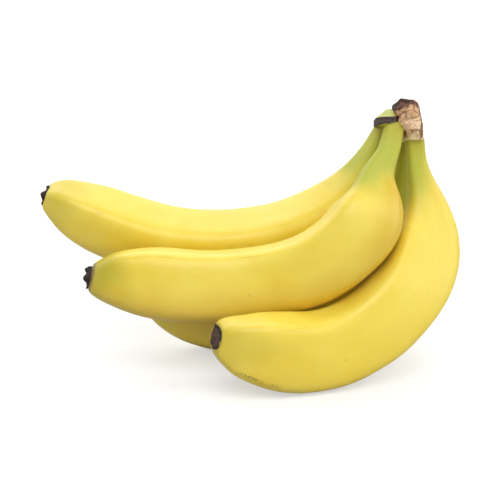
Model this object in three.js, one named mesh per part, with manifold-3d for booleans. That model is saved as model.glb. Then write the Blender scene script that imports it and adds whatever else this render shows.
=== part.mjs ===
// A bunch of four bananas that grew from one crown, lying as it comes to rest on a table.
// Millimetres, +Z up. The crown stands at the right, the blossom ends point left, and the
// bellies of the front and the under banana carry the bunch.
import * as THREE from "three";
import Module from "manifold-3d";

// Every banana bends in a plane that leans back from upright by this many degrees.
// Places below are given in that plane: [across, up the plane, away from it to the back].
const LEAN = 16;

// Clearance between two pieces that meet, and how far a belly is pressed flat by the weight.
const GAP = 0.3;
const PRESSED = 1.2;

// Heights up the plane of the two undersides of the crown: the pad over the back and middle
// banana, and the cut stalk over the front and under banana.
const PAD_UNDERSIDE = 63;
const STALK_UNDERSIDE = 55.8;

// One banana each. spine runs from the crown to the blossom end. neck, body and tip are mean
// radii, swell and taper the lengths over which the neck fills out and the end draws in, and
// filling how suddenly the neck does so.
// ridges are the five long edges of the peel, in degrees round from the inside of the bend
// towards the viewer, and crispness says how sharp they are.
const BANANAS = {
  back: {
    spine: [
      [68.8, 61.5, 9.5], [61.1, 46.4, 13], [47.7, 24.8, 21.5], [24, 9.6, 28.5], [-3.5, 3.9, 32],
      [-34.5, 3.6, 31.5], [-64.5, 10.6, 29], [-89, 20.4, 26.5], [-100.5, 26, 25.5], [-107.4, 28.6, 25],
    ],
    top: PAD_UNDERSIDE, neck: 5.2, body: 17.8, tip: 6, swell: 38, filling: 2.3, taper: 40,
    ridges: [80, 152, 218, 285, 352], crispness: 7,
  },
  middle: {
    spine: [
      [73, 62.5, -3], [69.6, 49.5, -5], [64.8, 38.5, -7], [62.7, 28, -8.5], [59.4, 16.8, -10],
      [50.8, 4.8, -10], [30.8, -9.8, -6], [3, -17, -0.5], [-25.5, -18.7, 0.5], [-53.5, -16.2, 0.5],
      [-81.4, -14, 0.5],
    ],
    top: PAD_UNDERSIDE, neck: 5.4, body: 18.6, tip: 6, swell: 37.5, filling: 3.8, taper: 42,
    ridges: [43, 139, 205, 270, 335], crispness: 6,
  },
  front: {
    spine: [
      [84.2, 55.5, 3], [86.2, 41.3, 5.5], [90.4, 23, 8], [89.6, 2.8, 6.5], [77.3, -23.2, -3.5],
      [55.9, -42, -10], [27.4, -50.5, -19.5], [5.5, -48.2, -27.5], [-6.8, -45.6, -31],
      [-16.2, -42.5, -33.5],
    ],
    top: STALK_UNDERSIDE, neck: 4.9, body: 18.8, tip: 6.6, swell: 42, filling: 2.9, taper: 42,
    ridges: [54, 155, 215, 280, 346], crispness: 6,
  },
  under: {
    spine: [
      [81.6, 56, 17.5], [81, 42, 26], [79, 22.5, 36], [69.5, -3, 39.5], [48.5, -24.5, 38],
      [19, -34.9, 35.9], [-10.5, -36.1, 34.9], [-35, -32.5, 33.9], [-52.5, -27.5, 33.5],
    ],
    top: STALK_UNDERSIDE, neck: 4.7, body: 18, tip: 6.1, swell: 45, filling: 3.2, taper: 44,
    ridges: [60, 140, 205, 275, 345], crispness: 6,
  },
};
const TAPER_POWER = 0.7;
const RINGS = 36;
const FACETS_BETWEEN_RIDGES = 4;

// The crown's two lumps as levels from the underside up: centre [across, up, away], half sizes
// across and away, the tilt of the level in degrees, and how square it is (2 is an ellipse).
const PAD_LEVELS = [
  { centre: [69.8, PAD_UNDERSIDE, 3.8], half: [6.2, 12.2], tilt: 0, square: 3.2 },
  { centre: [69.8, 67.2, 3.6], half: [6, 11.6], tilt: 0, square: 3.2 },
  { centre: [73, 72, 4.8], half: [3.4, 7.6], tilt: 8, square: 2.6 },
];
const STALK_LEVELS = [
  { centre: [84, STALK_UNDERSIDE, 8.8], half: [5, 13.4], tilt: 0, square: 3.2 },
  { centre: [84, 62.8, 6], half: [4.9, 13.6], tilt: 0, square: 3.2 },
  { centre: [81.1, 63.4, 4.6], half: [6.6, 13.8], tilt: 0, square: 3.2 },
  { centre: [80.8, 68, 3.5], half: [6.4, 13.2], tilt: 4, square: 2.8 },
  { centre: [79.5, 72.6, 1.5], half: [7.1, 11.4], tilt: 10, square: 2.5 },
  { centre: [79, 75.6, 0.8], half: [6.5, 9.6], tilt: 15, square: 2.3 },
  { centre: [79, 75.9, 0.8], half: [5.2, 8.2], tilt: 15, square: 2.3 },
  { centre: [79, 74, 1.2], half: [3.6, 5.8], tilt: 15, square: 2.3 },
];
const CROWN_SIDES = 24;

// A dried flower end as [distance out from the peel, radius], closed at its sunk middle.
const BLOSSOM_PROFILE = [[GAP, 5.4], [0.9, 5.7], [1.8, 5.3], [2.7, 4.3], [3, 3.2], [2.4, 1.8]];
const BLOSSOM_SIDES = 15;
const BLOSSOM_LOBES = 5;
const LOBE_DEPTH = 0.07;

const PEEL = new THREE.MeshStandardMaterial({ name: "peel", color: 0xe9ca50, roughness: 0.5 });
const CUT_CROWN = new THREE.MeshStandardMaterial({ name: "cut crown", color: 0xb9955c, roughness: 0.8 });
const DRIED_FLOWER = new THREE.MeshStandardMaterial({ name: "dried flower", color: 0x3b2a1e, roughness: 0.9 });

const lean = THREE.MathUtils.degToRad(LEAN);
const UP_THE_PLANE = new THREE.Vector3(0, Math.sin(lean), Math.cos(lean));
const AWAY = new THREE.Vector3(0, Math.cos(lean), -Math.sin(lean));

// Point in space of a place given in the leaning plane.
function inSpace([across, up, away]) {
  return new THREE.Vector3(across, 0, 0).addScaledVector(UP_THE_PLANE, up).addScaledVector(AWAY, away);
}

// Second derivatives of the natural cubic spline through values at knots, by elimination.
function secondDerivatives(knots, values) {
  const last = knots.length - 1;
  const second = new Array(last + 1).fill(0);
  const above = new Array(last + 1).fill(0);
  for (let i = 1; i < last; i++) {
    const before = knots[i] - knots[i - 1];
    const after = knots[i + 1] - knots[i];
    const bend = 6 * ((values[i + 1] - values[i]) / after - (values[i] - values[i - 1]) / before);
    const pivot = 2 * (before + after) - before * above[i - 1];
    above[i] = after / pivot;
    second[i] = (bend - before * second[i - 1]) / pivot;
  }
  for (let i = last - 1; i > 0; i--) second[i] -= above[i] * second[i + 1];
  return second;
}

// A function of distance along the knots that follows the natural cubic spline.
function naturalSpline(knots, values) {
  const second = secondDerivatives(knots, values);
  return (at) => {
    let i = 0;
    while (i < knots.length - 2 && at > knots[i + 1]) i++;
    const span = knots[i + 1] - knots[i];
    const from = at - knots[i];
    const to = knots[i + 1] - at;
    const cubic = (second[i] * to ** 3 + second[i + 1] * from ** 3) / (6 * span);
    const startSlope = values[i] / span - (second[i] * span) / 6;
    const endSlope = values[i + 1] / span - (second[i + 1] * span) / 6;
    return cubic + startSlope * to + endSlope * from;
  };
}

// The smooth centre line through a banana's spine places, with its length.
function centreLine(spine) {
  const points = spine.map(inSpace);
  const knots = [0];
  for (let i = 1; i < points.length; i++) knots.push(knots[i - 1] + points[i].distanceTo(points[i - 1]));
  const along = ["x", "y", "z"].map((axis) => naturalSpline(knots, points.map((p) => p[axis])));
  const length = knots[knots.length - 1];
  const at = (s) => new THREE.Vector3(...along.map((f) => f(s)));
  const direction = (s) => at(Math.min(s + 0.5, length)).sub(at(Math.max(s - 0.5, 0))).normalize();
  return { length, at, direction };
}

// Mean radius of a banana at distance s from the crown, on a centre line of the given length.
function meanRadius(banana, s, length) {
  const filled = 1 - Math.exp(-((s / banana.swell) ** banana.filling));
  const full = banana.neck + (banana.body - banana.neck) * filled;
  const towardsTip = Math.min((length - s) / banana.taper, 1);
  return banana.tip + (full - banana.tip) * (1 - (1 - towardsTip) ** 2) ** TAPER_POWER;
}

// The peel's cross-section: a rounded polygon whose corners are the ridges, as
// r = (sum of (cos(angle - middle of face) / cos(half of face))^p)^(-1/p), of mean radius 1.
function peelSection({ ridges, crispness }) {
  const faces = ridges.map((ridge, i) => {
    const next = i + 1 < ridges.length ? ridges[i + 1] : ridges[0] + 360;
    return { middle: (ridge + next) / 2, half: (next - ridge) / 2 };
  });
  const cosine = (degrees) => Math.cos(THREE.MathUtils.degToRad(degrees));
  const raw = (degrees) => {
    const pulls = faces.map(({ middle, half }) => Math.max(0, cosine(degrees - middle)) / cosine(half));
    return pulls.reduce((sum, pull) => sum + pull ** crispness, 0) ** (-1 / crispness);
  };
  let mean = 0;
  for (let degrees = 0; degrees < 360; degrees += 2) mean += raw(degrees) / 180;
  return (degrees) => raw(degrees) / mean;
}

// Angles round the section, with a vertex on every ridge.
function facetAngles(ridges) {
  return ridges.flatMap((ridge, i) => {
    const next = i + 1 < ridges.length ? ridges[i + 1] : ridges[0] + 360;
    const step = (next - ridge) / FACETS_BETWEEN_RIDGES;
    return Array.from({ length: FACETS_BETWEEN_RIDGES }, (_, k) => ridge + step * k);
  });
}

// The two directions across a centre line: to the inside of the bend and to the viewer's side.
function across(direction) {
  const inside = new THREE.Vector3().crossVectors(AWAY, direction).normalize();
  const viewer = new THREE.Vector3().crossVectors(inside, direction).normalize();
  return { inside, viewer };
}

// A closed skin over rings of equal length, with a fan to the middle of each end ring.
function closedSkin(rings) {
  const sides = rings[0].length;
  const middle = (ring) => ring.reduce((sum, p) => sum.add(p), new THREE.Vector3()).divideScalar(sides);
  const points = [...rings.flat(), middle(rings[0]), middle(rings[rings.length - 1])];
  const index = [];
  for (let i = 0; i + 1 < rings.length; i++)
    for (let j = 0; j < sides; j++) {
      const a = i * sides + j;
      const b = i * sides + ((j + 1) % sides);
      index.push(a, a + sides, b, b, a + sides, b + sides);
    }
  const startMiddle = rings.length * sides;
  const endRing = startMiddle - sides;
  for (let j = 0; j < sides; j++) {
    const next = (j + 1) % sides;
    index.push(startMiddle, j, next, startMiddle + 1, endRing + next, endRing + j);
  }
  return new THREE.BufferGeometry().setFromPoints(points).setIndex(index);
}

// A banana's peel from just under the crown to just before the dried flower end. The first
// ring is slid along the neck onto the crown's underside, less the clearance.
function bananaSkin(banana) {
  const line = centreLine(banana.spine);
  const section = peelSection(banana);
  const angles = facetAngles(banana.ridges);
  const rings = Array.from({ length: RINGS }, (_, i) => {
    const s = line.length * (1 - (1 - i / (RINGS - 1)) ** 1.2);
    const centre = line.at(s);
    const direction = line.direction(s);
    const { inside, viewer } = across(direction);
    const radius = meanRadius(banana, s, line.length);
    return angles.map((degrees) => {
      const angle = THREE.MathUtils.degToRad(degrees);
      const out = radius * section(degrees);
      const point = centre.clone().addScaledVector(inside, out * Math.cos(angle));
      point.addScaledVector(viewer, out * Math.sin(angle));
      if (i === 0) {
        const short = banana.top - GAP - point.dot(UP_THE_PLANE);
        point.addScaledVector(direction, short / direction.dot(UP_THE_PLANE));
      }
      return point;
    });
  });
  return closedSkin(rings);
}

// The dried remains of the flower, sitting just off the flat end of a banana.
function blossomEnd(banana) {
  const line = centreLine(banana.spine);
  const direction = line.direction(line.length);
  const { inside, viewer } = across(direction);
  const rings = BLOSSOM_PROFILE.map(([out, radius]) =>
    Array.from({ length: BLOSSOM_SIDES }, (_, j) => {
      const angle = (2 * Math.PI * j) / BLOSSOM_SIDES;
      const reach = radius * (1 + LOBE_DEPTH * Math.cos(BLOSSOM_LOBES * angle));
      const point = line.at(line.length).addScaledVector(direction, out);
      point.addScaledVector(inside, reach * Math.cos(angle));
      return point.addScaledVector(viewer, reach * Math.sin(angle));
    }),
  );
  return closedSkin(rings);
}

// One lump of the crown: a rounded rectangle at each level, skinned from the underside up.
function crownLump(levels) {
  const rings = levels.map(({ centre, half, tilt, square }) => {
    const rise = Math.tan(THREE.MathUtils.degToRad(tilt));
    return Array.from({ length: CROWN_SIDES }, (_, j) => {
      const angle = (2 * Math.PI * j) / CROWN_SIDES;
      const [along, aside] = [Math.abs(Math.cos(angle)), Math.abs(Math.sin(angle))];
      const reach = (along ** square + aside ** square) ** (-1 / square);
      const away = -half[1] * reach * Math.sin(angle);
      const x = centre[0] + half[0] * reach * Math.cos(angle);
      return inSpace([x, centre[1] + rise * away, centre[2] + away]);
    });
  });
  return closedSkin(rings);
}

const solids = await Module();
solids.setup();

// Two closed skins joined into one.
function joined(one, other) {
  const [first, second] = [one, other].map((skin) => new solids.Manifold(new solids.Mesh({
    numProp: 3,
    vertProperties: skin.getAttribute("position").array,
    triVerts: new Uint32Array(skin.index.array),
  })));
  const mesh = first.add(second).getMesh();
  return new THREE.BufferGeometry()
    .setAttribute("position", new THREE.BufferAttribute(mesh.vertProperties, 3))
    .setIndex(new THREE.BufferAttribute(mesh.triVerts, 1));
}

// Sets the bunch down: its bounding box's bottom centre becomes the origin, with the lowest
// bellies sunk into the table by PRESSED and flattened there.
function setDown(meshes) {
  const box = new THREE.Box3();
  for (const { geometry } of meshes) {
    geometry.computeBoundingBox();
    box.union(geometry.boundingBox);
  }
  const middle = box.getCenter(new THREE.Vector3());
  for (const { geometry } of meshes) {
    geometry.translate(-middle.x, -middle.y, -box.min.z - PRESSED);
    const position = geometry.getAttribute("position");
    for (let i = 0; i < position.count; i++) position.setZ(i, Math.max(0, position.getZ(i)));
  }
}

function named(name, geometry, material) {
  const mesh = new THREE.Mesh(geometry, material);
  mesh.name = name;
  return mesh;
}

const meshes = [named("crown", joined(crownLump(PAD_LEVELS), crownLump(STALK_LEVELS)), CUT_CROWN)];
for (const [place, banana] of Object.entries(BANANAS)) {
  meshes.push(named(`banana_${place}`, bananaSkin(banana), PEEL));
  meshes.push(named(`blossom_end_${place}`, blossomEnd(banana), DRIED_FLOWER));
}
setDown(meshes);
for (const mesh of meshes) mesh.geometry.computeVertexNormals();

const bunch = new THREE.Group();
bunch.name = "bunch_of_bananas";
bunch.add(...meshes);
export default bunch;
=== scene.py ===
"""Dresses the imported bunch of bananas: fine peels, crown and blossom ends over the CAD solids.

Lengths are millimetres until a mesh is made, and metres from there on. Angles are degrees, apart
from the arrays called angle, which are in radians.
"""
from math import radians

import bpy
import numpy as np
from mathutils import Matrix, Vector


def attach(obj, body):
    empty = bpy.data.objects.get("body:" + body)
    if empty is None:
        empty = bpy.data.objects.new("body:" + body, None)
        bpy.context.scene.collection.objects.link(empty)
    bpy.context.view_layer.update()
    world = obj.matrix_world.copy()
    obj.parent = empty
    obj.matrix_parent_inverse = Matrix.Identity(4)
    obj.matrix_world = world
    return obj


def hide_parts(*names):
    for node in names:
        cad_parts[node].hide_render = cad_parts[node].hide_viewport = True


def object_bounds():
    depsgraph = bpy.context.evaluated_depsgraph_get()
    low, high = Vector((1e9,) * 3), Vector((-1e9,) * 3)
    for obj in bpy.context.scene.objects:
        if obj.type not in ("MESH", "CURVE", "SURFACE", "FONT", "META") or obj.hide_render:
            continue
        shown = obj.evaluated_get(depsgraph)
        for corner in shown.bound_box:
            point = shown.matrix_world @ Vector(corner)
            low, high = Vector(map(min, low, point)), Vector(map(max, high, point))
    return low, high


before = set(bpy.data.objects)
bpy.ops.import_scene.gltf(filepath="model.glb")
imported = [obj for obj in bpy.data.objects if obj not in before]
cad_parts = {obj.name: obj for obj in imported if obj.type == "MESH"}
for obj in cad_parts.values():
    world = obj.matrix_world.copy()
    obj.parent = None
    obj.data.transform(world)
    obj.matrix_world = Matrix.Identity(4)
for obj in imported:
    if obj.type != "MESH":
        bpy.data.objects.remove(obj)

cad_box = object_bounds()

MM = 0.001

# The bananas bend in planes that lean back by LEAN. Places are given in the middle plane as
# [across, up the plane, away from it to the back], from a zero that stands at SET_DOWN.
LEAN = 16
SET_DOWN = np.array([2.0, -0.91, 62.06])
UP_THE_PLANE = np.array([0, np.sin(radians(LEAN)), np.cos(radians(LEAN))])
AWAY = np.array([0, np.cos(radians(LEAN)), -np.sin(radians(LEAN))])
TO_WORLD = np.array([[1, 0, 0], UP_THE_PLANE, AWAY])

# The camera looks straight along AWAY from this far in front of the zero.
CAMERA_DISTANCE = 708
LENS = 100
SENSOR_WIDTH = 36

# How wide each soft box looks from the bunch, the direction that it stands in and its strength.
SOFT_BOX_WIDTH = 50
SOFT_BOXES = [
    ("above in front", (0, -0.7, 1), 1.72),
    ("above behind", (0, 0.7, 1), 1.0),
    ("front", (0, -1, 0.35), 0.36),
    ("right", (1, -0.3, 0.5), 1.4),
    ("left", (-1, 0, 0.5), 0.6),
    ("behind", (0, 1, 0.3), 0.4),
    ("behind on the left", (-0.8, 0.8, 0.7), 0.9),
    ("behind on the right", (0.8, 0.8, 0.7), 0.4),
]

# How much the backdrop lights, how brightly the floor glows to the camera alone, and the
# floor's half side and level in metres.
SKY = 0.08
FLOOR_GLOW = 0.52
FLOOR_HALF = 6
FLOOR_LEVEL = -0.0002

# Undersides of the crown's pad and of its cut stalk, up the plane.
PAD_UNDERSIDE = 63
STALK_UNDERSIDE = 55.8

# spine runs from the crown to the blossom end. neck, body and tip are mean radii, swell and
# taper the lengths over which the neck fills out and the end draws in, filling how suddenly
# the neck does so. ridges are the long edges of the peel, round from the inside of the bend
# towards the viewer, and crispness says how sharp they are. green_neck is how far the neck's
# green reaches, tip_green how strong the green at the end is, dry_rim how far the peel has dried
# back from its end and, up to RIM_DARKEST, how dark it is there, and the share after it is
# painted shade: how much darker the yellow is made on the outside of the bend. end_slope turns
# the end face to the inside of the bend and to the viewer. flower is the height of the dried
# flower's rim, with bits that stand up from it as [angle round, half width, height]. marks are
# scuffs on the peel as [distance from the crown, angle round, length, width, strength from 0 to 1].
BANANAS = {
    "back": {
        "spine": [
            [68.8, 61.5, 9.5], [61.1, 46.4, 13], [47.7, 24.8, 21.5], [24, 9.6, 28.5], [-3.5, 3.9, 32],
            [-34.5, 3.6, 31.5], [-64.5, 10.6, 29], [-89, 20.4, 26.5], [-100.5, 26, 25.5],
            [-107.4, 28.6, 25],
        ],
        "top": PAD_UNDERSIDE, "neck": 5.2, "body": 17.8, "tip": 6,
        "swell": 38, "filling": 2.3, "taper": 40,
        "ridges": [80, 152, 218, 285, 352], "crispness": 6,
        "green_neck": 35, "tip_green": 0.4, "dry_rim": 0.4, "painted_shade": 0.15,
        "end_slope": [0.0, 0.0], "flower": [0.8, [[10, 34, 0.9], [84, 24, 1.9]]],
        "marks": [[150, 120, 1.2, 0.6, 0.5], [96, 96, 0.8, 0.5, 0.4]],
    },
    "middle": {
        "spine": [
            [73, 62.5, -3], [69.6, 49.5, -5], [64.8, 38.5, -7], [62.7, 28, -8.5], [59.4, 16.8, -10],
            [50.8, 4.8, -10], [30.8, -9.8, -6], [3, -17, -0.5], [-25.5, -18.7, 0.5],
            [-53.5, -16.2, 0.5], [-81.4, -14, 0.5],
        ],
        "top": PAD_UNDERSIDE, "neck": 5.4, "body": 18.6, "tip": 6,
        "swell": 37.5, "filling": 3.8, "taper": 42,
        "ridges": [46, 139, 205, 270, 335], "crispness": 5,
        "green_neck": 46, "tip_green": 0.75, "dry_rim": 2.2, "painted_shade": 0.55,
        "end_slope": [-0.12, -0.1], "flower": [0.9, [[34, 28, 2.8], [95, 30, 3.0]]],
        "marks": [[176, 156, 1.8, 0.4, 0.8], [120, 108, 0.7, 0.5, 0.4]],
    },
    "front": {
        "spine": [
            [84.2, 55.5, 3], [86.2, 41.3, 5.5], [90.4, 23, 8], [89.6, 2.8, 6.5], [77.3, -23.2, -3.5],
            [55.9, -42, -10], [27.4, -50.5, -19.5], [5.5, -48.2, -27.5], [-6.8, -45.6, -31],
            [-16.2, -42.5, -33.5],
        ],
        "top": STALK_UNDERSIDE, "neck": 4.9, "body": 18.8, "tip": 6.6,
        "swell": 42, "filling": 2.9, "taper": 42,
        "ridges": [54, 155, 215, 280, 346], "crispness": 6,
        "green_neck": 38, "tip_green": 0.25, "dry_rim": 0.2, "painted_shade": 0.1,
        "end_slope": [0.2, -0.22], "flower": [0.5, [[0, 50, 0.7], [180, 45, 0.7]]],
        "marks": [
            [173, 150, 4.5, 0.5, 0.9], [162, 150, 2.0, 0.4, 0.7], [170, 154, 22, 0.5, 0.3],
            [130, 118, 0.8, 0.5, 0.4],
        ],
    },
    "under": {
        "spine": [
            [81.6, 56, 17.5], [81, 42, 26], [79, 22.5, 36], [69.5, -3, 39.5], [48.5, -24.5, 38],
            [19, -34.9, 35.9], [-10.5, -36.1, 34.9], [-35, -32.5, 33.9], [-52.5, -27.5, 33.5],
        ],
        "top": STALK_UNDERSIDE, "neck": 5.5, "body": 18, "tip": 6.1,
        "swell": 45, "filling": 3.2, "taper": 44,
        "ridges": [60, 140, 205, 275, 345], "crispness": 6,
        "green_neck": 70, "tip_green": 0.3, "dry_rim": 0.8, "painted_shade": 0.0,
        "end_slope": [0.0, 0.0], "flower": [0.8, [[60, 40, 1.2], [250, 40, 1.0]]], "marks": [],
    },
}
# The power by which an end draws in, the rings and sides of a peel, and the power by which its
# rings lie closer towards the end.
TAPER_POWER = 0.7
PEEL_RINGS = 340
PEEL_SIDES = 220
RING_POWER = 1.2

# The peel's lumps as [height, size], the size of the clouds that its colours follow, that of the
# spots that break up a scuff, and how far apart the peels lie in their shared pattern.
PEEL_LUMPS = [[0.12, 14], [0.05, 5]]
CLOUD_SIZE = 11
SCUFF_SPOTS = 0.7
PATTERN_APART = 1000

# How far a neck reaches into the crown, over what length it is sheared to start level there,
# its own crispness, and between which distances from the crown that becomes the body's.
NECK_SUNK = 1.5
NECK_SHEARED = 12
NECK_CRISPNESS = 4
NECK_ENDS = [15, 60]

# Over what length the end of a peel turns to its end face, and the half width of the wear on a
# ridge.
END_TURNED = 14
RIDGE_WEAR = 1.2

# Over what length the neck's green fades, how much further it reaches on the inside of the bend,
# how far the clouds move its edge, and the same reach and movement for the green at the end.
GREEN_FADE = 26
GREEN_INSIDE = 9
GREEN_WANDER = 4
TIP_GREEN_REACH = 28
TIP_GREEN_WANDER = 5

# How dark a dried rim gets and how far the clouds move its edge, between which distances from
# the crown the top of the neck turns to another green and how much, and for the painted shade the
# turn from the outside of the bend towards the viewer at which it is darkest, and where it fades in.
RIM_DARKEST = 0.9
RIM_WANDER = 0.3
NECK_TOP = [10, 2]
NECK_TOP_SHARE = 0.6
SHADE_TURN = 0.2
SHADE_EDGE = [-0.3, 0.7]

# The crown's two lumps as levels from the middle of the underside, up the side and over the
# top: centre [across, up, away], half sizes across and away, tilt, and squareness.
PAD_LEVELS = [
    [69.8, 63.0, 3.8, 0.3, 0.5, 0, 2.2],
    [69.8, 63.0, 3.8, 5.2, 10.6, 0, 3.2],
    [69.8, 63.6, 3.8, 5.9, 11.6, 0, 3.2],
    [69.8, 64.4, 3.8, 6.2, 12.1, 0, 3.2],
    [69.8, 66.9, 3.6, 6.0, 11.8, 0, 3.2],
    [69.9, 67.3, 3.6, 5.6, 11.2, 0, 3.2],
    [73.0, 71.6, 4.8, 3.5, 7.8, 8, 2.6],
    [73.0, 72.0, 4.8, 3.0, 7.2, 8, 2.6],
    [73.0, 72.0, 4.8, 0.3, 0.5, 8, 2.2],
]
STALK_LEVELS = [
    [83.8, 55.8, 8.8, 0.3, 0.5, 0, 2.2],
    [83.8, 55.8, 8.8, 4.6, 12.9, 0, 3.2],
    [83.8, 56.2, 8.8, 5.0, 13.4, 0, 3.2],
    [83.0, 60.6, 5.4, 5.4, 13.8, 0, 3.2],
    [81.0, 64.6, 4.4, 6.6, 13.8, 1, 3.0],
    [80.7, 68.0, 3.5, 6.4, 13.2, 4, 2.8],
    [79.5, 72.6, 1.5, 7.1, 11.4, 10, 2.5],
    [79.0, 75.6, 0.8, 6.5, 9.6, 15, 2.3],
    [79.0, 76.0, 0.8, 5.3, 8.4, 15, 2.3],
    [79.0, 74.0, 1.2, 3.8, 6.0, 15, 2.3],
    [79.0, 73.6, 1.2, 0.3, 0.5, 15, 2.3],
]
CROWN_SIDES = 240
CROWN_RINGS = 200
CROWN_SOFTENED = 6

# Ripples over the crown as [seed, size, how much closer they lie across, up and away].
CROWN_RIPPLES = {
    "pad wrinkles": [41, 1.1, [1, 0.25, 1]],
    "pad lumps": [42, 3.5, [1, 1, 1]],
    "pad edge": [43, 2.2, [1, 1, 1]],
    "lying creases": [51, 2.0, [0.5, 1.4, 0.6]],
    "standing creases": [52, 2.2, [1.6, 0.4, 1.5]],
    "stalk lumps": [53, 4, [1, 1, 1]],
    "tatters": [54, 1.6, [1, 1, 1]],
    "stalk rim": [55, 2.4, [1, 1, 1]],
    "breaks": [56, 2.5, [1, 1, 1]],
    "folds": [57, 3.2, [0.6, 1.2, 0.6]],
}

# Heights on the pad, up the plane: its wrinkled side, its waist, its roof and the lower edge of
# its dark band. A pair is where something has not begun and where it is whole.
PAD_SIDE_START = [62.9, 63.6]
PAD_SIDE_END = [68, 67]
PAD_WAIST = 65.2
PAD_WAIST_HALF = 1.1
PAD_ROOF = [67.2, 67.7]
BAND_START = 62.5

# How much the band's lower edge climbs for each mm from the pad's left edge, and where a torn
# strip crosses the roof.
BAND_CLIMB = 0.2
PAD_LEFT = 63.6
PAD_TEAR = 74
PAD_TEAR_HALF = 1.6

# Pairs of heights on the stalk, for its relief, folds, cream foot, age, brown top and burnt
# corner, and places across it for the right end of the brown and the middle of the burn.
STALK_RELIEF = [55.6, 58.5]
STALK_FOLDS = [62, 68]
STALK_CREAM = [57.6, 56.2]
STALK_AGE = [62, 71]
STALK_BROWN = [70.6, 73.6]
STALK_BURNT = [72.6, 74.4]
BROWN_RIGHT = [82.6, 79.8]
BURN_ACROSS = 74
BURN_SLOPE = 1.1

# The stalk's top is lower from this place across to the left, by a slope, above a pair of heights.
LEFT_CORNER = 77.5
CORNER_SLOPE = 0.6
CORNER_TOP = [70, 74]

# Shares of the stalk's rings, from 0 in the middle of the underside to 1 in the middle of the
# hollow: pairs for its top, for both sides of its rim, and for its hollow.
TOP_RINGS = [0.60, 0.72]
RIM_START_RINGS = [0.5, 0.62]
RIM_END_RINGS = [0.86, 0.74]
HOLLOW_RINGS = [0.74, 0.80]

# A dried flower end as [share of the rim's height, radius], to its sunk middle.
BLOSSOM_PROFILE = [
    [-0.6, 4.8], [0, 5.6], [0.5, 5.8], [0.9, 5.5], [1.0, 4.9], [0.8, 4.2], [0.4, 3.4],
    [0.3, 1.6], [0.3, 0.2],
]
BLOSSOM_LOBES = 5
BLOSSOM_SIDES = 120
BLOSSOM_RINGS = 70
BLOSSOM_SOFTENED = 3
BLOSSOM_SEED = 60


def in_space(places):
    """World places, in mm, of places given in the leaning plane."""
    return np.asarray(places, float) @ TO_WORLD + SET_DOWN


def centre_line(spine):
    """The natural cubic spline through the spine's places at chord-length knots.

    Returns its length and a function of an array of distances along it.
    """
    points = in_space(spine)
    steps = np.linalg.norm(np.diff(points, axis=0), axis=1)
    knots = np.concatenate([[0], np.cumsum(steps)])
    slopes = np.diff(points, axis=0) / steps[:, None]
    matrix = np.eye(len(points))
    bends = np.zeros_like(points)
    rows = np.arange(1, len(points) - 1)
    matrix[rows, rows - 1] = steps[:-1]
    matrix[rows, rows] = 2 * (steps[:-1] + steps[1:])
    matrix[rows, rows + 1] = steps[1:]
    bends[1:-1] = 6 * np.diff(slopes, axis=0)
    second = np.linalg.solve(matrix, bends)

    def at(s):
        i = np.clip(np.searchsorted(knots, s, side="right") - 1, 0, len(steps) - 1)
        span = steps[i][:, None]
        gone = (s - knots[i])[:, None]
        left = span - gone
        cubic = (second[i] * left**3 + second[i + 1] * gone**3) / (6 * span)
        start = (points[i] / span - second[i] * span / 6) * left
        end = (points[i + 1] / span - second[i + 1] * span / 6) * gone
        return cubic + start + end

    return knots[-1], at


def unit(vectors):
    """Each vector divided by its length."""
    return vectors / np.linalg.norm(vectors, axis=-1, keepdims=True)


def smooth_step(value, start, end):
    """0 before start and 1 after end, with a smooth rise between; start may be the larger."""
    share = np.clip((value - start) / (end - start), 0, 1)
    return share * share * (3 - 2 * share)


def bell(value, width):
    """exp(-(value / width)^2)."""
    return np.exp(-((value / width) ** 2))


def turn_from(other, degrees):
    """The turn from one angle to others, from -180 to 180 degrees."""
    return (degrees - other + 180) % 360 - 180


def cross_frame(at, s, length):
    """Directions along a centre line and, square to it, to the inside of the bend and the viewer."""
    along = unit(at(np.minimum(s + 0.5, length)) - at(np.maximum(s - 0.5, 0)))
    inside = unit(np.cross(AWAY, along))
    viewer = unit(np.cross(inside, along))
    return along, inside, viewer


def mean_radius(banana, s, length):
    """neck + (body - neck)(1 - exp(-(s / swell)^filling)), drawn in to the tip as
    (1 - (1 - distance to the end / taper)^2)^TAPER_POWER."""
    filled = 1 - np.exp(-((s / banana["swell"]) ** banana["filling"]))
    full = banana["neck"] + (banana["body"] - banana["neck"]) * filled
    towards_tip = np.minimum((length - s) / banana["taper"], 1)
    drawn_in = (1 - (1 - towards_tip) ** 2) ** TAPER_POWER
    return banana["tip"] + (full - banana["tip"]) * drawn_in


def peel_section(ridges, crispness, degrees):
    """For the crispness of each ring, a rounded polygon with its corners at the ridges and a mean
    radius of 1: (sum over its faces of (cos(angle - middle) / cos(half))^crispness)^(-1 / crispness)."""
    after = np.append(ridges[1:], ridges[0] + 360)
    middle = (np.array(ridges) + after) / 2
    half = (after - ridges) / 2
    power = crispness[:, None]

    def raw(angles):
        pull = np.cos(np.radians(angles[:, None] - middle)).clip(0) / np.cos(np.radians(half))
        return (pull ** power[..., None]).sum(axis=-1) ** (-1 / power)

    return raw(degrees) / raw(np.arange(0, 360, 2.0)).mean(axis=1, keepdims=True)


def end_turn(banana, angle):
    """Slope of the end face round the peel: towards the inside of the bend * cos(angle) and
    towards the viewer * sin(angle)."""
    towards_inside, towards_viewer = banana["end_slope"]
    return towards_inside * np.cos(angle) + towards_viewer * np.sin(angle)


def ripple(points, size, seed, waves=18):
    """Smooth lumps about size across, mostly from -1 to 1: the sum of cosines along seeded random
    directions, over the square root of their number, each 1.4 to 3.2 times size long."""
    random = np.random.default_rng(seed)
    directions = unit(random.normal(size=(waves, 3)))
    lengths = size * random.uniform(0.7, 1.6, waves) * 2
    phases = random.uniform(0, 2 * np.pi, waves)
    turned = points @ (directions.T * (2 * np.pi / lengths)) + phases
    return np.cos(turned).sum(axis=-1) / np.sqrt(waves)


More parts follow.
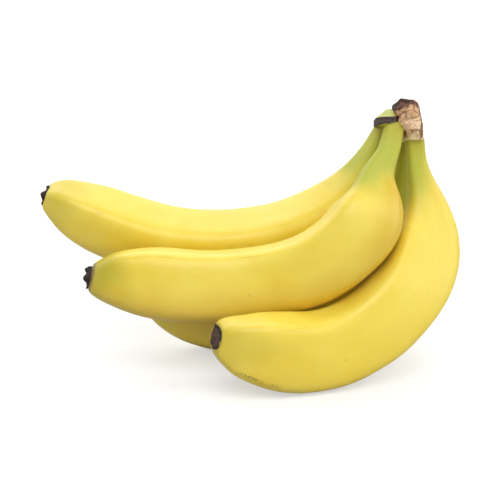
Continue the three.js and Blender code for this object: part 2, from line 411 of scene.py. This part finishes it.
def ridge_nearness(ridges, degrees, radius, width):
    """exp(-(arc to the nearest ridge / width)^2) for every ring's radius and every angle."""
    apart = np.abs(turn_from(np.array(ridges), degrees[:, None])).min(axis=1)
    return bell(np.radians(apart) * radius[:, None], width)


def skin(name, rings, material, **attributes):
    """A closed smooth mesh over a grid of rings, with a fan to the middle of each end ring.

    The rings are in mm, and what would lie outside the CAD's box, such as under the table, is
    pressed flat onto it. Each attribute has one number, or one place, for each point of the grid.
    """
    count, sides = rings.shape[:2]
    low, high = (np.array(corner) / MM for corner in cad_box)
    points = rings.reshape(-1, 3)
    ends = np.stack([rings[0].mean(axis=0), rings[-1].mean(axis=0)])
    vertices = np.clip(np.vstack([points, ends]), low, high) * MM
    first = (np.arange(count - 1)[:, None] * sides + np.arange(sides)).ravel()
    second = (np.arange(count - 1)[:, None] * sides + (np.arange(sides) + 1) % sides).ravel()
    quads = np.stack([first, first + sides, second + sides, second], axis=1)
    round_end = np.arange(sides)
    next_one = (round_end + 1) % sides
    last = (count - 1) * sides
    start_fan = np.stack([np.full(sides, count * sides), round_end, next_one], axis=1)
    end_fan = np.stack([np.full(sides, count * sides + 1), last + next_one, last + round_end], axis=1)
    mesh = bpy.data.meshes.new(name)
    mesh.from_pydata(vertices, [], quads.tolist() + start_fan.tolist() + end_fan.tolist())
    mesh.polygons.foreach_set("use_smooth", np.ones(len(mesh.polygons), bool))
    for title, values in attributes.items():
        values = np.asarray(values, np.float32).reshape(count * sides, -1)
        closed = np.vstack([values, values[:sides].mean(axis=0), values[-sides:].mean(axis=0)])
        if values.shape[1] == 3:
            mesh.attributes.new(title, "FLOAT_VECTOR", "POINT").data.foreach_set("vector", closed.ravel())
        else:
            mesh.attributes.new(title, "FLOAT", "POINT").data.foreach_set("value", closed.ravel())
    mesh.materials.append(material)
    piece = bpy.data.objects.new(name, mesh)
    bpy.context.scene.collection.objects.link(piece)
    return piece


def linear(sheet_colour):
    """An sRGB hex colour as linear red, green, blue and 1."""
    parts = [int(sheet_colour[i:i + 2], 16) / 255 for i in (1, 3, 5)]
    return [p / 12.92 if p <= 0.04045 else ((p + 0.055) / 1.055) ** 2.4 for p in parts] + [1.0]


def add(tree, kind, inputs, **settings):
    """Adds a node with its settings; each input is filled with a value or linked to a socket."""
    made = tree.nodes.new(kind)
    for name, value in settings.items():
        setattr(made, name, value)
    for place, value in inputs.items():
        if isinstance(value, bpy.types.NodeSocket):
            tree.links.new(value, made.inputs[place])
        else:
            made.inputs[place].default_value = value
    return made


def new_material(name):
    """An empty material with its shader, and the node tree to build it in."""
    material = bpy.data.materials.new(name)
    material.use_nodes = True
    return material, material.node_tree, material.node_tree.nodes["Principled BSDF"]


def blend(tree, share, under, over):
    """Colour of over laid on under by share, as a Mix node's colour socket."""
    return add(tree, "ShaderNodeMix", {0: share, 6: under, 7: over}, data_type="RGBA").outputs[2]


def attribute(tree, title, output="Fac"):
    """Socket that gives a value written on the mesh under this title."""
    return add(tree, "ShaderNodeAttribute", {}, attribute_name=title).outputs[output]


def ripe_peel():
    """Ripe banana peel: a waxy skin, green at the neck and the tip, with fine long fibres.

    The eye gets a warm yellow with painted shade that darkens it on the outside of the bend, a
    broad satin shine, a thin waxy coat, brown scuffs and a dried edge at the flower end.
    """
    material, tree, shader = new_material("ripe banana peel")
    straight = attribute(tree, "straight", "Vector")

    # Soft clouds of ripeness, about 25 mm across.
    clouds = add(tree, "ShaderNodeTexNoise", {"Vector": straight, "Scale": 40, "Detail": 2}).outputs["Fac"]
    # Long fibres under the skin, 1.2 mm apart and some 30 mm long.
    drawn = add(tree, "ShaderNodeMapping", {"Vector": straight, "Scale": (1, 1, 0.04)}).outputs[0]
    fibres = add(tree, "ShaderNodeTexNoise", {"Vector": drawn, "Scale": 800, "Detail": 3}).outputs["Fac"]
    # Freckles, up to 1 mm across and some 11 mm apart.
    freckles = add(tree, "ShaderNodeTexVoronoi", {"Vector": straight, "Scale": 90}).outputs["Distance"]

    cloud_share = add(tree, "ShaderNodeMapRange", {0: clouds, 1: 0.35, 2: 0.65}).outputs[0]
    yellow = blend(tree, cloud_share, linear("#EACF40"), linear("#EFD852"))
    fibre_share = add(tree, "ShaderNodeMapRange", {0: fibres, 1: 0.35, 2: 0.75, 3: 0, 4: 0.1}).outputs[0]
    yellow = blend(tree, fibre_share, yellow, linear("#DDB432"))

    neck_green = attribute(tree, "neck_green")
    # Painted shade: the yellow is darkened to a deep golden on the outside of the bend.
    yellow = blend(tree, attribute(tree, "painted_shade"), yellow, linear("#CFA326"))
    green = blend(tree, attribute(tree, "neck_top"), linear("#B6B93C"), linear("#B8A82A"))
    colour = blend(tree, neck_green, yellow, green)
    colour = blend(tree, attribute(tree, "tip_green"), colour, linear("#ADA224"))

    freckled = add(tree, "ShaderNodeMapRange", {0: freckles, 1: 0.045, 2: 0.02, 3: 0, 4: 0.3}).outputs[0]
    colour = blend(tree, freckled, colour, linear("#A9852C"))
    worn = add(tree, "ShaderNodeMapRange", {0: fibres, 1: 0.56, 2: 0.7, 3: 0, 4: 0.25}).outputs[0]
    ridge_wear = add(tree, "ShaderNodeMath", {0: attribute(tree, "ridge"), 1: worn}, operation="MULTIPLY")
    colour = blend(tree, ridge_wear.outputs[0], colour, linear("#B88A34"))
    colour = blend(tree, attribute(tree, "scuff"), colour, linear("#4E3014"))
    colour = blend(tree, attribute(tree, "dry_rim"), colour, linear("#6E5520"))
    tree.links.new(colour, shader.inputs["Base Color"])

    shine = add(tree, "ShaderNodeMapRange", {0: clouds, 1: 0.3, 2: 0.7, 3: 0.38, 4: 0.5}).outputs[0]
    matt = add(tree, "ShaderNodeMath", {0: neck_green, 1: 0.25, 2: shine}, operation="MULTIPLY_ADD")
    tree.links.new(matt.outputs[0], shader.inputs["Roughness"])
    shader.inputs["IOR"].default_value = 1.5
    shader.inputs["Coat Weight"].default_value = 0.25
    shader.inputs["Coat Roughness"].default_value = 0.32
    shader.inputs["Subsurface Weight"].default_value = 0.12
    shader.inputs["Subsurface Radius"].default_value = (1.0, 0.6, 0.15)
    shader.inputs["Subsurface Scale"].default_value = 0.002
    bump = add(tree, "ShaderNodeBump", {"Height": fibres, "Strength": 0.2, "Distance": 0.0001})
    tree.links.new(bump.outputs[0], shader.inputs["Normal"])
    return material


def scuffs(marks, s, degrees, radius, seed):
    """Each mark as strength * exp(-(along / length)^2 - (round / width)^2), broken up by a ripple."""
    total = np.zeros((len(s), len(degrees)))
    for start, turn, long, wide, strength in marks:
        round_it = np.radians(turn_from(turn, degrees)) * radius[:, None]
        along_it = s[:, None] - start
        spread_out = np.stack(np.broadcast_arrays(along_it, round_it, 0.0), axis=-1)
        spots = ripple(spread_out, SCUFF_SPOTS, seed + 5)
        shape = np.exp(-((along_it / long) ** 2) - (round_it / wide) ** 2)
        total = np.maximum(total, strength * shape * smooth_step(spots, -0.9, 0.3))
    return total


def levelled_neck(points, along, s, top):
    """The points of a peel with the neck's first NECK_SHEARED mm slid along it, by a square that
    runs out, so that the peel starts level, NECK_SUNK above top and so inside the crown."""
    short = (top + NECK_SUNK - (points[0] - SET_DOWN) @ UP_THE_PLANE) / (along[0] @ UP_THE_PLANE)
    slid = short * np.clip(1 - s[:, None] / NECK_SHEARED, 0, 1) ** 2
    return points + slid[..., None] * along[:, None]


def peel_looks(banana, s, left, angle, clouds):
    """Shares of a peel's colours, from the distances s from the crown and left to the end, the
    angle round it, and clouds that make their edges wander."""
    green, dry = banana["green_neck"], banana["dry_rim"]
    neck_side = s - GREEN_INSIDE * np.cos(angle) + GREEN_WANDER * clouds
    tip_side = left + TIP_GREEN_WANDER * clouds
    outside = -np.cos(angle - SHADE_TURN) + 0.1 * clouds
    return {
        "neck_green": smooth_step(neck_side, green, green - GREEN_FADE),
        "tip_green": banana["tip_green"] * smooth_step(tip_side, TIP_GREEN_REACH, 0),
        # Painted shade: darker yellow on the outside of the bend, turned a little towards the viewer.
        "painted_shade": banana["painted_shade"] * smooth_step(outside, *SHADE_EDGE),
        "dry_rim": min(dry, RIM_DARKEST) * smooth_step(left + RIM_WANDER * clouds, dry, 0.2 * dry),
        "neck_top": NECK_TOP_SHARE * smooth_step(s + clouds, *NECK_TOP),
    }


def banana_peel(place, banana, material):
    """A peel from just inside the crown to the flower end, as centre(s) + radius(s) * section(angle)
    * (inside * cos(angle) + viewer * sin(angle)). Its neck is rounder than its body, and over its
    last END_TURNED mm it turns to the slope of its end face."""
    length, at = centre_line(banana["spine"])
    s = length * (1 - (1 - np.linspace(0, 1, PEEL_RINGS)) ** RING_POWER)
    degrees = np.arange(PEEL_SIDES) * 360 / PEEL_SIDES
    angle = np.radians(degrees)
    along, inside, viewer = cross_frame(at, s, length)
    radius = mean_radius(banana, s, length)
    crispness = NECK_CRISPNESS + (banana["crispness"] - NECK_CRISPNESS) * smooth_step(s, *NECK_ENDS)
    section = peel_section(banana["ridges"], crispness, degrees)
    straight = np.stack(np.broadcast_arrays(
        radius[:, None] * np.cos(angle), radius[:, None] * np.sin(angle), s[:, None]), axis=-1)
    seed = 10 * sorted(BANANAS).index(place)
    clouds = ripple(straight, CLOUD_SIZE, seed + 2)
    lumps = sum(high * ripple(straight, size, seed + i) for i, (high, size) in enumerate(PEEL_LUMPS))
    reach = radius[:, None] * section + lumps
    outward = inside[:, None] * np.cos(angle)[:, None] + viewer[:, None] * np.sin(angle)[:, None]
    turned = end_turn(banana, angle) * reach * smooth_step(length - s[:, None], END_TURNED, 0)
    points = at(s)[:, None] + reach[..., None] * outward + turned[..., None] * along[:, None]
    points = levelled_neck(points, along, s, banana["top"])
    piece = skin(
        f"peel_{place}", points, material,
        straight=(straight + [0, 0, PATTERN_APART * seed]) * MM,
        **peel_looks(banana, s[:, None], length - s[:, None], angle, clouds),
        ridge=ridge_nearness(banana["ridges"], degrees, radius, RIDGE_WEAR),
        scuff=scuffs(banana["marks"], s, degrees, radius, seed),
    )
    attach(piece, "root")
    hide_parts(f"banana_{place}")


def evenly(stations, count, softened):
    """count rows spaced evenly along the broken line through the stations, with its corners
    softened by that many passes of a quarter, a half and a quarter of each three neighbours."""
    stations = np.array(stations, float)
    steps = np.linalg.norm(np.diff(stations[:, :5], axis=0), axis=1)
    knots = np.concatenate([[0], np.cumsum(steps)])
    places = np.linspace(0, knots[-1], count)
    rows = np.stack([np.interp(places, knots, column) for column in stations.T], axis=1)
    for _ in range(softened):
        rows[1:-1] = (rows[:-2] + 2 * rows[1:-1] + rows[2:]) / 4
    return rows


def crown_rings(levels):
    """Rounded rectangles level by level: across = half * cos, away = -half * sin, both times
    (|cos|^square + |sin|^square)^(-1 / square), and up = centre + tan(tilt) * away.

    Returns the places in the leaning plane and the direction outwards, level in it.
    """
    rows = evenly(levels, CROWN_RINGS, CROWN_SOFTENED)
    x, up, away, half_x, half_away, tilt, square = (column[:, None] for column in rows.T)
    angle = np.arange(CROWN_SIDES) * 2 * np.pi / CROWN_SIDES
    cos, sin = np.cos(angle), np.sin(angle)
    reach = (np.abs(cos) ** square + np.abs(sin) ** square) ** (-1 / square)
    aside = -half_away * reach * sin
    places = np.stack([
        x + half_x * reach * cos, up + np.tan(np.radians(tilt)) * aside, away + aside], axis=-1)
    outwards = unit(np.stack(np.broadcast_arrays(cos / half_x, 0.0, -sin / half_away), axis=-1))
    return places, outwards


def crown_ripple(name, places):
    """The ripple of this name over places on the crown, which are given in the leaning plane."""
    seed, size, closer = CROWN_RIPPLES[name]
    return ripple(places * closer, size, seed)


def crown_pad(material):
    """The pad over the back and middle neck: a green cut roof, a dried dark band and green skin
    below it, wrinkled up and down by a ripple that is stretched along the height."""
    places, outwards = crown_rings(PAD_LEVELS)
    x, up = places[..., 0], places[..., 1]
    side = smooth_step(up, *PAD_SIDE_START) * smooth_step(up, *PAD_SIDE_END)
    waist = bell(up - PAD_WAIST, PAD_WAIST_HALF)
    wrinkled = side * (0.16 * crown_ripple("pad wrinkles", places) - 0.25 * waist)
    push = wrinkled + 0.22 * crown_ripple("pad lumps", places)
    places = places + push[..., None] * outwards
    ragged = 0.35 * crown_ripple("pad edge", places)
    lower = BAND_START + BAND_CLIMB * np.clip(x - PAD_LEFT, 0, None)
    roof = smooth_step(up + 0.5 * ragged, *PAD_ROOF)
    band = smooth_step(up + ragged, lower - 0.3, lower + 0.5) * (1 - roof)
    torn = bell(x - PAD_TEAR, PAD_TEAR_HALF) * roof
    piece = skin("crown_pad", in_space(places), material, place=in_space(places) * MM,
                 band=band, roof=roof, torn=torn, waist=waist)
    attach(piece, "root")
    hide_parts("crown")


def stalk_creases(places):
    """How deeply the stalk is creased: lying creases where it is broken, standing ones elsewhere,
    and folds towards the top, each of them where a ripple passes through zero."""
    broken = smooth_step(crown_ripple("breaks", places), -0.6, 0.8)
    lying = bell(crown_ripple("lying creases", places), 0.2) * broken
    standing = 0.6 * bell(crown_ripple("standing creases", places), 0.14) * (1 - broken)
    folds = bell(crown_ripple("folds", places), 0.16) * smooth_step(places[..., 1], *STALK_FOLDS)
    return np.maximum(lying + standing, folds)


def stalk_looks(places, outwards, ring, lumps, tatters):
    """Shares of the stalk's colours: dark rind at its sides and back and along its right edge,
    cream at its foot, age towards its top, a brown hollow and a burnt corner. Lumps and tatters
    make their edges wander."""
    x, up = places[..., 0], places[..., 1]
    towards_viewer = -outwards[..., 2]
    rind = smooth_step(towards_viewer + 0.25 * lumps, 0.15, -0.25)
    right_edge = smooth_step(outwards[..., 0] + 0.3 * lumps, 0.8, 0.98)
    brown = smooth_step(up + 0.9 * tatters + 0.5 * lumps, *STALK_BROWN)
    brown = brown * smooth_step(x + 0.9 * tatters, *BROWN_RIGHT)
    return {
        "rind": np.maximum(rind, right_edge),
        "cream": smooth_step(up + 0.4 * tatters, *STALK_CREAM),
        "hollow": np.maximum(brown, smooth_step(ring + 0.02 * tatters, *HOLLOW_RINGS)),
        "aged": smooth_step(up + 0.8 * lumps, *STALK_AGE),
        "burnt": smooth_step(up - BURN_SLOPE * (x - BURN_ACROSS) + tatters, *STALK_BURNT),
    }


def crown_stalk(material):
    """The cut stalk: dried fibrous flesh in lumps, tatters and creases, with its left corner lower,
    an uneven rim and a torn hollow on top."""
    smooth, outwards = crown_rings(STALK_LEVELS)
    x, up = smooth[..., 0], smooth[..., 1]
    ring = np.linspace(0, 1, CROWN_RINGS)[:, None]
    creases = stalk_creases(smooth)
    lumps = crown_ripple("stalk lumps", smooth)
    tatters = crown_ripple("tatters", smooth)
    relief = smooth_step(up, *STALK_RELIEF) * (0.45 * lumps + 0.3 * tatters - 0.45 * creases)
    push = relief * (1 - 0.6 * smooth_step(ring, *TOP_RINGS))
    places = smooth + push[..., None] * outwards
    lowered = CORNER_SLOPE * np.clip(LEFT_CORNER - x, 0, 6)
    places[..., 1] -= lowered * smooth_step(up, *CORNER_TOP)
    rim = smooth_step(ring, *RIM_START_RINGS) * smooth_step(ring, *RIM_END_RINGS)
    places[..., 1] += rim * (0.6 * crown_ripple("stalk rim", places) - 0.3)
    piece = skin("crown_stalk", in_space(places), material, place=in_space(places) * MM,
                 crease=creases, **stalk_looks(smooth, outwards, ring, lumps, tatters))
    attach(piece, "root")
    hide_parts("crown")


def blossom_end(place, banana, material):
    """The dried flower at the end of a peel: its profile turned about the centre line, with
    radius * (1 + 0.06 * cos(BLOSSOM_LOBES * angle)), a rim whose height is base + sum of height *
    exp(-((angle - bit) / width)^2), and ripples for the torn petals."""
    length, at = centre_line(banana["spine"])
    end = np.array([length])
    along, inside, viewer = (direction[0] for direction in cross_frame(at, end, length))
    rows = evenly(BLOSSOM_PROFILE, BLOSSOM_RINGS, BLOSSOM_SOFTENED)
    share, radius = rows[:, :1], rows[:, 1:]
    degrees = np.arange(BLOSSOM_SIDES) * 360 / BLOSSOM_SIDES
    angle = np.radians(degrees)
    base, bits = banana["flower"]
    height = np.full(BLOSSOM_SIDES, base)
    for bit, width, tall in bits:
        height = height + tall * bell(turn_from(bit, degrees), width)
    height = height.mean() + (height - height.mean()) * smooth_step(radius, 1.5, 4)
    flat = np.stack(np.broadcast_arrays(radius * np.cos(angle), radius * np.sin(angle), share), axis=-1)
    seed = BLOSSOM_SEED + 10 * sorted(BANANAS).index(place)
    torn = ripple(flat, 2.2, seed)
    frayed = ripple(flat * [1, 1, 0.4], 0.8, seed + 1)
    dried = smooth_step(share, 0.1, 0.8)
    lobes = 0.06 * np.cos(BLOSSOM_LOBES * angle + seed) * dried
    reach = radius * (1 + lobes) + dried * (0.3 * torn + 0.1 * frayed) * (radius / 6)
    rise = share * height + dried * (0.3 * torn + 0.12 * frayed) + end_turn(banana, angle) * reach
    outward = inside * np.cos(angle)[:, None] + viewer * np.sin(angle)[:, None]
    points = at(end)[0] + rise[..., None] * along + reach[..., None] * outward
    sunk = smooth_step(radius + 0.3 * torn, 4.9, 3.9)
    piece = skin(f"flower_end_{place}", points, material, place=flat * MM,
                 sunk=sunk, frayed=frayed)
    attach(piece, "root")
    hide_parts(f"blossom_end_{place}")


def dried_pad():
    """Cut and dried banana crown: fresh green where the knife passed last, a leathery dark band."""
    material, tree, shader = new_material("dried crown pad")
    place = attribute(tree, "place", "Vector")
    # Leathery grain about 1 mm across, and patches of about 3 mm.
    grain = add(tree, "ShaderNodeTexNoise", {"Vector": place, "Scale": 900, "Detail": 4}).outputs["Fac"]
    patches = add(tree, "ShaderNodeTexNoise", {"Vector": place, "Scale": 300, "Detail": 2}).outputs["Fac"]
    patch = add(tree, "ShaderNodeMapRange", {0: patches, 1: 0.35, 2: 0.65}).outputs[0]
    speck = add(tree, "ShaderNodeMapRange", {0: grain, 1: 0.4, 2: 0.7}).outputs[0]
    colour = blend(tree, patch, linear("#A9AD3F"), linear("#B4B54A"))
    leather = blend(tree, patch, linear("#2C1C16"), linear("#483632"))
    worn = add(tree, "ShaderNodeMath", {0: attribute(tree, "waist"), 1: 0.4}, operation="MULTIPLY")
    leather = blend(tree, worn.outputs[0], leather, linear("#6E5855"))
    leather = blend(tree, speck, leather, linear("#2B1D18"))
    colour = blend(tree, attribute(tree, "band"), colour, leather)
    cut = blend(tree, patch, linear("#A3AD48"), linear("#BEC469"))
    colour = blend(tree, attribute(tree, "roof"), colour, cut)
    colour = blend(tree, attribute(tree, "torn"), colour, linear("#C79A54"))
    tree.links.new(colour, shader.inputs["Base Color"])
    shader.inputs["Roughness"].default_value = 0.6
    bump = add(tree, "ShaderNodeBump", {"Height": grain, "Strength": 0.5, "Distance": 0.0003})
    tree.links.new(bump.outputs[0], shader.inputs["Normal"])
    return material


def dried_stalk():
    """Torn and dried banana stalk: corky tan fibres, red-brown in the hollow, dark dry rind."""
    material, tree, shader = new_material("dried cut stalk")
    place = attribute(tree, "place", "Vector")
    # Corky fibres about 1 mm across, drawn out upwards to 3 mm, and patches of about 4 mm.
    drawn = add(tree, "ShaderNodeMapping", {"Vector": place, "Scale": (1, 1, 0.35)}).outputs[0]
    grain = add(tree, "ShaderNodeTexNoise", {"Vector": drawn, "Scale": 1100, "Detail": 4}).outputs["Fac"]
    patches = add(tree, "ShaderNodeTexNoise", {"Vector": place, "Scale": 260, "Detail": 2}).outputs["Fac"]
    patch = add(tree, "ShaderNodeMapRange", {0: patches, 1: 0.35, 2: 0.65}).outputs[0]
    speck = add(tree, "ShaderNodeMapRange", {0: grain, 1: 0.35, 2: 0.7}).outputs[0]
    fresh = blend(tree, patch, linear("#E0BA8E"), linear("#FAEACA"))
    old = blend(tree, patch, linear("#9E6C4A"), linear("#E6C4A0"))
    colour = blend(tree, attribute(tree, "aged"), fresh, old)
    colour = blend(tree, speck, colour, linear("#D8AC78"))
    crack = add(tree, "ShaderNodeMath", {0: attribute(tree, "crease"), 1: 0.9}, operation="MULTIPLY")
    colour = blend(tree, crack.outputs[0], colour, linear("#8A5A34"))
    colour = blend(tree, attribute(tree, "cream"), colour, linear("#F0DDA6"))
    rind = blend(tree, patch, linear("#5A4030"), linear("#8A6A44"))
    colour = blend(tree, attribute(tree, "rind"), colour, rind)
    hollow = blend(tree, patch, linear("#2E120A"), linear("#723E24"))
    colour = blend(tree, attribute(tree, "hollow"), colour, hollow)
    colour = blend(tree, attribute(tree, "burnt"), colour, linear("#2A1711"))
    tree.links.new(colour, shader.inputs["Base Color"])
    shader.inputs["Roughness"].default_value = 0.8
    bump = add(tree, "ShaderNodeBump", {"Height": grain, "Strength": 0.6, "Distance": 0.0004})
    tree.links.new(bump.outputs[0], shader.inputs["Normal"])
    return material


def dried_flower():
    """Withered banana flower: black-brown, brittle, with a paler felted middle."""
    material, tree, shader = new_material("withered flower end")
    place = attribute(tree, "place", "Vector")
    # Crumbled crust, about 1 mm across.
    grain = add(tree, "ShaderNodeTexNoise", {"Vector": place, "Scale": 900, "Detail": 4}).outputs["Fac"]
    speck = add(tree, "ShaderNodeMapRange", {0: grain, 1: 0.4, 2: 0.7}).outputs[0]
    crust = blend(tree, speck, linear("#150B07"), linear("#382219"))
    felt = blend(tree, speck, linear("#3A1F18"), linear("#705048"))
    frayed = add(tree, "ShaderNodeMapRange", {0: attribute(tree, "frayed"), 1: -0.6, 2: 0.9, 3: 0, 4: 0.6})
    felt = blend(tree, frayed.outputs[0], felt, linear("#2A1512"))
    colour = blend(tree, attribute(tree, "sunk"), crust, felt)
    tree.links.new(colour, shader.inputs["Base Color"])
    shader.inputs["Roughness"].default_value = 0.7
    bump = add(tree, "ShaderNodeBump", {"Height": grain, "Strength": 0.7, "Distance": 0.0004})
    tree.links.new(bump.outputs[0], shader.inputs["Normal"])
    return material


def camera():
    """A long lens that looks along AWAY at the zero of the leaning planes."""
    data = bpy.data.cameras.new("camera")
    data.lens = LENS
    data.sensor_width = SENSOR_WIDTH
    data.clip_start = 0.05
    data.clip_end = 20
    eye = bpy.data.objects.new("camera", data)
    eye.location = (SET_DOWN - CAMERA_DISTANCE * AWAY) * MM
    eye.rotation_euler = (radians(90 - LEAN), 0, 0)
    bpy.context.scene.collection.objects.link(eye)
    bpy.context.scene.camera = eye


def soft_light(name, towards, strength):
    """A wide soft box far off in the direction of towards."""
    data = bpy.data.lights.new(name, "SUN")
    data.angle = radians(SOFT_BOX_WIDTH)
    data.energy = strength
    box = bpy.data.objects.new(name, data)
    x, y, z = towards
    box.rotation_euler = (np.arctan2(np.hypot(x, y), z), 0, np.arctan2(x, -y))
    bpy.context.scene.collection.objects.link(box)


def studio():
    """A pale floor before a white backdrop that itself lights little, with soft boxes all round."""
    material, tree, shader = new_material("lit white paper")
    shader.inputs["Base Color"].default_value = linear("#BBBBBB")
    shader.inputs["Roughness"].default_value = 0.9
    glow = add(tree, "ShaderNodeEmission", {"Color": (1, 1, 1, 1), "Strength": FLOOR_GLOW})
    lit = add(tree, "ShaderNodeAddShader", {0: shader.outputs[0], 1: glow.outputs[0]})
    seen = add(tree, "ShaderNodeLightPath", {}).outputs["Is Camera Ray"]
    paper = add(tree, "ShaderNodeMixShader", {0: seen, 1: shader.outputs[0], 2: lit.outputs[0]})
    tree.links.new(paper.outputs[0], tree.nodes["Material Output"].inputs["Surface"])
    half = FLOOR_HALF
    mesh = bpy.data.meshes.new("floor")
    corners = [(-half, -half), (half, -half), (half, half), (-half, half)]
    mesh.from_pydata([(x, y, FLOOR_LEVEL) for x, y in corners], [], [(0, 1, 2, 3)])
    mesh.materials.append(material)
    floor = bpy.data.objects.new("floor", mesh)
    bpy.context.scene.collection.objects.link(floor)
    world = bpy.data.worlds.new("white backdrop")
    world.use_nodes = True
    sky = world.node_tree.nodes["Background"]
    sky.inputs["Color"].default_value = (1, 1, 1, 1)
    in_view = add(world.node_tree, "ShaderNodeLightPath", {}).outputs["Is Camera Ray"]
    bright = add(world.node_tree, "ShaderNodeMath", {0: in_view, 1: SKY}, operation="ADD")
    world.node_tree.links.new(bright.outputs[0], sky.inputs["Strength"])
    bpy.context.scene.world = world
    for name, towards, strength in SOFT_BOXES:
        soft_light(name, towards, strength)
    bpy.context.scene.view_settings.view_transform = "Standard"


camera()
peel = ripe_peel()
flower = dried_flower()
for place, banana in BANANAS.items():
    banana_peel(place, banana, peel)
    blossom_end(place, banana, flower)
crown_pad(dried_pad())
crown_stalk(dried_stalk())
studio()
